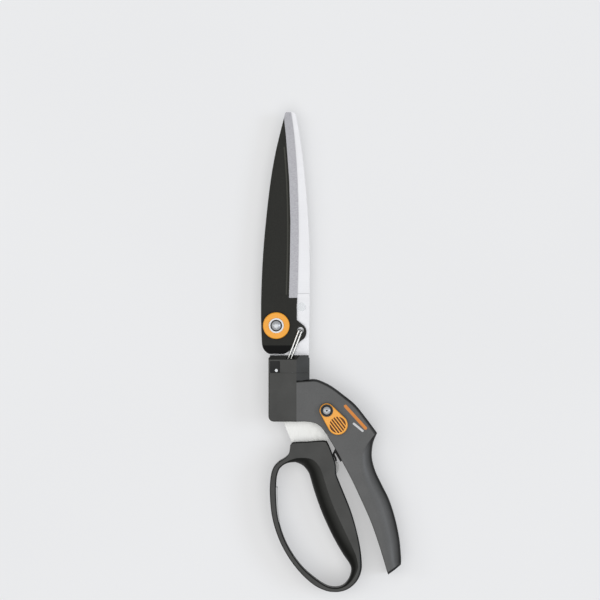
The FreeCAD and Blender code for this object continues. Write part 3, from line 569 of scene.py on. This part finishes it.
# Sections from the housing to the cut end: point on the finger side, point on the palm side, then
# width, depth and turn of the palm-side rounding.
PALM_ROWS = [
    ((HOUSING_EDGE, -18.5), (HOUSING_EDGE, 12.3), 1.6, 3.6, 42),
    ((13.0, -18.5), (14.0, 12.8), 1.6, 3.8, 42),
    ((19.5, -19.6), (21.0, 12.8), 1.7, 4.2, 42),
    ((24.0, -22.5), (31.0, 8.4), 1.8, 4.6, 42),
    ((27.5, -27.0), (41.0, 1.2), 1.9, 5.0, 42),
    ((30.5, -31.8), (50.0, -6.3), 1.9, 5.0, 42),
    ((33.5, -36.8), (58.5, -16.8), 2.0, 5.0, 42),
    ((37.0, -43.0), (66.2, -27.2), 2.4, 5.4, 48),
    ((40.5, -49.6), (63.2, -35.0), 8.2, 9.4, 68),
    ((44.5, -57.0), (62.3, -45.0), 9.2, 10.4, 74),
    ((48.5, -65.0), (64.8, -55.5), 10.6, 11.2, 79),
    ((53.0, -74.6), (70.0, -66.6), 12.0, 11.8, 83),
    ((57.6, -84.7), (75.3, -77.4), 13.0, 12.0, 86),
    ((62.2, -95.6), (79.7, -91.0), 13.2, 12.0, 86),
    ((66.8, -108.8), (82.9, -106.0), 12.4, 12.0, 86),
    ((71.0, -122.2), (84.2, -119.0), 10.6, 12.0, 86),
    ((73.8, -131.7), (84.4, -124.4), 9.6, 12.0, 86),
]
PALM_TIP = 7                                    # row of the sharp corner
PALM_STEPS = 8                                  # sections between two rows
PALM_EDGE = (0.8, 0.8, 80)                      # width, depth and turn on the finger side
PALM_CUT = ((74.3, -133.3), (84.4, -126.0))     # ends of the end cap's outer face
PALM_CREASE = 24                                # edges sharper than this angle stay sharp


def palm_rings():
    """Sections along the handle, smooth on both sides of the sharp tip."""
    table = [inner + outer + (width, depth, turn) for inner, outer, width, depth, turn in PALM_ROWS]
    before = catmull(table[:PALM_TIP + 1], PALM_STEPS)
    after = catmull(table[PALM_TIP:], PALM_STEPS)
    inner_line = catmull([row[:2] for row in table], PALM_STEPS)
    rings = []
    for inner, row in zip(inner_line, before + after[1:]):
        rings.append(section(inner, row[2:4], 0.0, THICK, PALM_EDGE, row[4:]))
    return rings


def palm_end_cap():
    """Dark cap on the cut end, a little inside the shells, its outer face slightly smaller."""
    low, high = heights(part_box("end_cap"))
    inner, outer, *roll = PALM_ROWS[-1]
    inset = 0.1
    chamfer_from, chamfer = 0.85, 0.15
    rings = []
    for share, shrink in ((0.0, 0.0), (chamfer_from, 0.0), (1.0, chamfer)):
        start = Vector(inner).lerp(Vector(PALM_CUT[0]), share)
        end = Vector(outer).lerp(Vector(PALM_CUT[1]), share)
        across = (end - start).normalized() * (inset + shrink)
        rings.append(section(start + across, end - across, low + shrink, high - shrink, PALM_EDGE, roll))
    piece = make_piece("palm_end_cap", loft(rings), END, "palm_handle")
    auto_smooth(piece, PALM_CREASE)
    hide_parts("end_cap")


def mouth_cutters():
    """The slots that the tang and the spring's legs move in, and the hollow behind them."""
    tang_low, tang_high = heights(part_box("handle_tang"))
    tang_play = 0.7
    spring_low, spring_high = 14.9, 22.2
    wall = 2.6
    tang_area = [(5, -14), (5, -30), (26, -46), (37, -42.5), (34, -30), (27, -17), (18, -13)]
    spring_area = [(23, -16), (24, -40), (36.6, -43.4), (39, -41), (39, -31), (31, -24), (27, -16)]
    hollow = [(5, -15.6), (5, 9.4), (19.5, 9.6), (28, 6), (38, -1.2), (45, -8), (44, -25), (38, -34),
              (33.2, -31), (28.8, -24.2), (22.6, -17.4), (13, -15.8)]
    return [prism(tang_area, tang_low - tang_play, tang_high + tang_play),
            prism(spring_area, spring_low, spring_high),
            prism(hollow, wall, THICK - wall)]


def screw_places():
    """Middle of each screw head, from the points of the node's mesh that lie near the back."""
    near_back, head_reach = 1.0, 6.0
    groups = []
    for vertex in frame["nodes"]["shell_screws"].data.vertices:
        spot = vertex.co / MM
        if spot.z > near_back:
            continue
        for group in groups:
            if (group[0] - spot).length < head_reach:
                group.append(spot)
                break
        else:
            groups.append([spot])
    places = []
    for group in groups:
        xs = [spot.x for spot in group]
        ys = [spot.y for spot in group]
        places.append(((min(xs) + max(xs)) / 2, (min(ys) + max(ys)) / 2))
    return places


def palm_handle():
    """Both shells as one smooth body, with its screw wells, its slots and the lock's hub hole."""
    well_radius, well_depth = 2.6, 2.2
    hub_radius = 3.1
    piece = make_piece("palm_handle_shell", loft(palm_rings()), PALM, None)
    in_palm = [place for place in screw_places() if place[X] > HOUSING_EDGE]
    wells = [prism(circle(x, y, well_radius), -1.0, well_depth) for x, y in in_palm]
    hub_x, hub_y = middle(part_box("lock_screw"))
    hub = prism(circle(hub_x, hub_y, hub_radius, 40), MID, THICK + 1)
    carve(piece, mouth_cutters() + wells + [hub])
    auto_smooth(piece, PALM_CREASE)
    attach(piece, "palm_handle")
    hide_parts("palm_shell_front", "palm_shell_back")


# ---------------------------------------------------------------- finger loop
# Sections once round the loop, starting under the housing: outer point, inner point, then width of
# the rounding on the finger side and on the outer side.
GRIP_ROWS = [
    ((2.5, -34.3), (0.6, -49.4), 2.0, 0.9),
    ((14.0, -33.6), (5.0, -49.3), 4.0, 1.0),
    ((26.6, -32.9), (9.5, -51.2), 7.0, 1.2),
    ((29.6, -35.6), (12.3, -53.7), 8.6, 1.2),
    ((33.0, -44.0), (14.8, -57.3), 9.4, 1.2),
    ((35.0, -50.5), (16.2, -61.4), 9.8, 1.2),
    ((35.6, -58.0), (18.2, -68.4), 10.0, 1.2),
    ((38.8, -66.6), (21.2, -77.6), 10.0, 1.2),
    ((42.8, -76.3), (24.6, -86.8), 10.0, 1.2),
    ((46.9, -87.0), (28.6, -96.0), 10.0, 1.2),
    ((50.6, -99.6), (34.2, -107.4), 9.8, 1.2),
    ((53.4, -112.6), (40.8, -118.8), 8.6, 1.4),
    ((54.7, -124.0), (45.4, -125.4), 6.6, 1.8),
    ((54.3, -131.0), (46.8, -130.2), 4.4, 1.7),
    ((51.6, -137.6), (45.4, -136.0), 2.8, 1.4),
    ((47.0, -142.6), (42.4, -140.4), 1.8, 1.1),
    ((41.4, -145.6), (38.8, -142.6), 1.2, 0.9),
    ((34.8, -146.6), (34.2, -143.3), 1.0, 0.8),
    ((27.2, -145.5), (28.4, -142.0), 1.0, 0.8),
    ((18.0, -140.8), (20.4, -137.0), 1.0, 0.8),
    ((8.0, -131.6), (10.6, -128.5), 1.0, 0.8),
    ((-1.0, -119.6), (2.2, -117.4), 1.0, 0.8),
    ((-8.0, -106.0), (-4.3, -104.4), 1.0, 0.8),
    ((-12.7, -90.4), (-8.4, -89.2), 1.1, 0.8),
    ((-14.4, -74.0), (-9.6, -74.0), 1.1, 0.8),
    ((-14.0, -61.6), (-9.4, -62.4), 1.1, 0.8),
    ((-11.8, -53.4), (-7.8, -55.4), 1.1, 0.8),
    ((-7.6, -48.7), (-5.6, -52.4), 1.1, 0.8),
    ((-3.4, -46.1), (-3.6, -50.9), 1.2, 0.8),
    ((-0.6, -43.6), (-2.2, -50.2), 1.4, 0.8),
    ((0.6, -40.2), (-1.2, -49.8), 1.6, 0.8),
    ((1.0, -36.6), (-0.3, -49.6), 1.8, 0.8),
]
GRIP_STEPS = 7              # sections between two rows
GRIP_CREASE = 17            # edges sharper than this angle stay sharp
FINGER_TURN = 50            # the finger-side rounding meets the flat in a crease
FINGER_STEEPNESS = 1.25     # its depth, as a share of its width
FINGER_DEPTH = 13.0         # and the most that this may be
OUTER_TURN = 75             # the same for the outer side
OUTER_STEEPNESS = 1.3


def loop_grip():
    """Finger loop: broad and rolled on the palm side, a thin guard on the other."""
    finger_share, outer_share = 0.66, 0.3
    low, high = heights(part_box("loop_grip"))
    table = [outer + inner + (finger, back) for outer, inner, finger, back in GRIP_ROWS]
    # A few rows are repeated so that the run closes smoothly, and what they add is cut off again.
    around = table[-1:] + table + table[:2]
    rows = catmull(around, GRIP_STEPS)[GRIP_STEPS:-2 * GRIP_STEPS]
    rings = []
    for outer_x, outer_y, inner_x, inner_y, finger, back in rows:
        width = math.hypot(outer_x - inner_x, outer_y - inner_y)
        finger = min(finger, width * finger_share)
        back = min(back, width * outer_share)
        finger_roll = (finger, min(FINGER_STEEPNESS * finger, FINGER_DEPTH), FINGER_TURN)
        outer_roll = (back, OUTER_STEEPNESS * back, OUTER_TURN)
        rings.append(section((inner_x, inner_y), (outer_x, outer_y), low, high, finger_roll, outer_roll))
    piece = make_piece("finger_loop_grip", loft(rings, closed_path=True), GRIP, None)
    auto_smooth(piece, GRIP_CREASE)
    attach(piece, "loop_handle")
    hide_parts("loop_grip")


def guard_highlight_strip():
    """Thin light strip, a painted highlight along the guard's inner chamfer. It is cut off square at its top
    and thins out towards its lower end."""
    low, high = heights(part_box("loop_grip"))
    root = catmull([(-9.6, -67.9), (-9.6, -74.0), (-9.2, -82.0), (-8.4, -89.2), (-7.2, -94.0)], 6)
    bottom, top = low + 2.6, high - 0.9
    bury, corner = 0.9, 0.3
    thin, thick, taper = 0.3, 1.0, 1.6
    rings = []
    for k, (x, y) in enumerate(root):
        left = 1 - k / (len(root) - 1)
        face = x + thin + (thick - thin) * min(1.0, taper * left)
        rings.append([(x - bury, y, bottom), (face - corner, y, bottom), (face, y, bottom + corner),
                      (face, y, top - corner), (face - corner, y, top), (x - bury, y, top)])
    # Painted highlight: a light strip standing for light on the guard's inner chamfer.
    piece = make_piece("guard_highlight_strip", loft(rings), BUFFER, "loop_handle")
    auto_smooth(piece, 30)


# ---------------------------------------------------------------- return spring
SPRING_WIRE_R = 0.8     # half the thickness of the wire
SPRING_TOP = 21.0       # height of the wire's centre on the palm leg
SPRING_LOW = 16.2       # and on the loop leg


def spring_route(pin_x, pin_y):
    """Palm leg, nearly three turns round the pin, loop leg: the centre line of one bent wire.
    The coil starts at the first angle and winds back through the wound one, both in degrees."""
    radius = 4.6
    first, wound, count = 250, 990, 66
    bends = 5
    palm_leg = [(39.3, -48.3), (38.3, -46.8), (36.7, -44.0), (35.4, -41.6), (35.2, -39.0), (35.2, -36.2)]
    loop_leg = [(37.4, -35.0), (35.9, -38.6), (34.5, -41.2), (33.6, -43.4), (34.8, -46.0), (35.3, -48.4)]
    coil = []
    for k in range(count + 1):
        angle = math.radians(first - wound * k / count)
        height = SPRING_TOP + (SPRING_LOW - SPRING_TOP) * k / count
        coil.append((pin_x + radius * math.cos(angle), pin_y + radius * math.sin(angle), height))
    lead_in = catmull([(x, y, SPRING_TOP) for x, y in palm_leg] + coil[:1], bends)
    lead_out = catmull(coil[-1:] + [(x, y, SPRING_LOW) for x, y in loop_leg], bends)
    return lead_in[:-1] + coil + lead_out[1:]


def return_spring():
    """Black torsion spring coiled round the handles' pivot pin."""
    pin = middle(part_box("handle_pivot_pin"))
    route = spring_route(*pin)
    curve = bpy.data.curves.new("torsion_spring", "CURVE")
    curve.dimensions = "3D"
    curve.bevel_depth = SPRING_WIRE_R * MM
    curve.bevel_resolution = 5
    spline = curve.splines.new("POLY")
    spline.points.add(len(route) - 1)
    for point, (x, y, z) in zip(spline.points, route):
        point.co = (x * MM, y * MM, z * MM, 1.0)
    holder = bpy.data.objects.new("spring_curve", curve)
    bpy.context.scene.collection.objects.link(holder)
    graph = bpy.context.evaluated_depsgraph_get()
    mesh = bpy.data.meshes.new_from_object(holder.evaluated_get(graph))
    bpy.data.objects.remove(holder)
    piece = bpy.data.objects.new("torsion_spring", mesh)
    bpy.context.scene.collection.objects.link(piece)
    mesh.materials.append(BLACK)
    auto_smooth(piece, 60)
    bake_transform(piece)
    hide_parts("return_spring")


# ---------------------------------------------------------------- head
def recess_plate():
    """Dark plate on the floor of the square recess round the head's pin."""
    recess_depth, sink, thick = 1.0, 0.05, 0.3
    left, right, near, far, corner = -14.1, -6.9, 18.3, 26.85, 0.4
    pin_x, pin_y, pin_room = -9.5, 19.9, 1.5
    bottom = heights(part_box("head_block_front"))[1] - recess_depth
    outline = [(left, near + corner), (left + corner, near), (right - corner, near), (right, near + corner),
               (right, far - corner), (right - corner, far), (left + corner, far), (left, far - corner)]
    plate = prism(outline, bottom - sink, bottom + thick)
    piece = make_piece("head_recess_plate", plate, END, None, smooth=False)
    carve(piece, [prism(circle(pin_x, pin_y, pin_room, 24), bottom - 1, bottom + 1)])
    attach(piece, "swivel_head")


# ---------------------------------------------------------------- printed marks
def stadium(start, end, width, steps=10):
    """Outline of a bar with round ends."""
    radius = width / 2
    heading = math.atan2(end[1] - start[1], end[0] - start[0])
    points = []
    for centre, turn in ((end, -math.pi / 2), (start, math.pi / 2)):
        for k in range(steps + 1):
            angle = heading + turn + math.pi * k / steps
            points.append((centre[0] + radius * math.cos(angle), centre[1] + radius * math.sin(angle)))
    return points


def printed_bar(name, start, end, width, material):
    """Plain bar of ink on the palm handle's flat face."""
    ink = 0.05
    bar = prism(stadium(start, end, width), THICK - ink, THICK + ink)
    piece = make_piece(name, bar, material, "palm_handle", smooth=False)


def printed_marks():
    """Two plain bars beside the lock lever."""
    printed_bar("printed_bar_orange", (42.3, -6.9), (57.4, -23.4), 2.3, INK_ORANGE)
    printed_bar("printed_bar_white", (48.6, -20.0), (55.2, -25.4), 1.6, INK_WHITE)


# ---------------------------------------------------------------- stage
def floor():
    """Plain pale floor that glows a little, like a light table."""
    size = 3000.0
    cloud_scale, glow = 3.0, 0.33
    bm = bmesh.new()
    corners = [bm.verts.new((sx * size, sy * size, 0.0)) for sx, sy in ((-1, -1), (1, -1), (1, 1), (-1, 1))]
    bm.faces.new(corners)
    shader = Shader("floor")
    pale = shader.ramp(shader.noise(cloud_scale), BROAD, (0.51, 0.51, 0.512, 1.0), (0.53, 0.53, 0.532, 1.0))
    shader.link(pale, shader.bsdf.inputs["Base Color"])
    shader.bsdf.inputs["Roughness"].default_value = 0.8
    shader.bsdf.inputs["Emission Color"].default_value = (1.0, 1.0, 1.0, 1.0)
    shader.bsdf.inputs["Emission Strength"].default_value = glow
    piece = make_piece("floor", bm, shader.mat, None, smooth=False)


def soft_sun(name, towards, strength, spread, colour=(1.0, 1.0, 1.0)):
    """Soft lamp in a direction, given as a vector from the shears. Its spread is in degrees."""
    data = bpy.data.lights.new(name, "SUN")
    data.energy = strength
    data.angle = math.radians(spread)
    data.color = colour
    lamp = bpy.data.objects.new(name, data)
    lamp.rotation_euler = Vector(towards).to_track_quat("Z", "Y").to_euler()
    lamp.location = Vector(towards)
    bpy.context.scene.collection.objects.link(lamp)


def studio():
    """A wide soft box overhead, with weaker ones from the left and a cool one from the right."""
    soft_sun("overhead", (-0.03, -0.12, 1.0), 1.75, 66)
    soft_sun("left", (-0.9, 0.1, 0.9), 0.24, 22)
    soft_sun("right", (1.0, 0.05, 0.85), 0.55, 24, (0.8, 0.87, 1.0))
    world = bpy.data.worlds.new("surround")
    bpy.context.scene.world = world
    world.use_nodes = True
    background = world.node_tree.nodes["Background"]
    background.inputs["Color"].default_value = (0.95, 0.97, 1.0, 1.0)
    background.inputs["Strength"].default_value = 0.24


def camera():
    """Straight down on the shears, the blades pointing up the picture. The field is the width
    seen at the shears' upper face."""
    lens, sensor, field = 280.0, 36.0, 450.0
    centre_x, centre_y = 8.25, 72.75
    data = bpy.data.cameras.new("camera")
    data.lens = lens
    data.sensor_width = sensor
    holder = bpy.data.objects.new("camera", data)
    holder.location = Vector((centre_x, centre_y, field * lens / sensor + THICK)) * MM
    bpy.context.scene.collection.objects.link(holder)
    bpy.context.scene.camera = holder


dress_nodes()
palm_handle()
palm_end_cap()
loop_grip()
guard_highlight_strip()
return_spring()
recess_plate()
printed_marks()
floor()
studio()
camera()
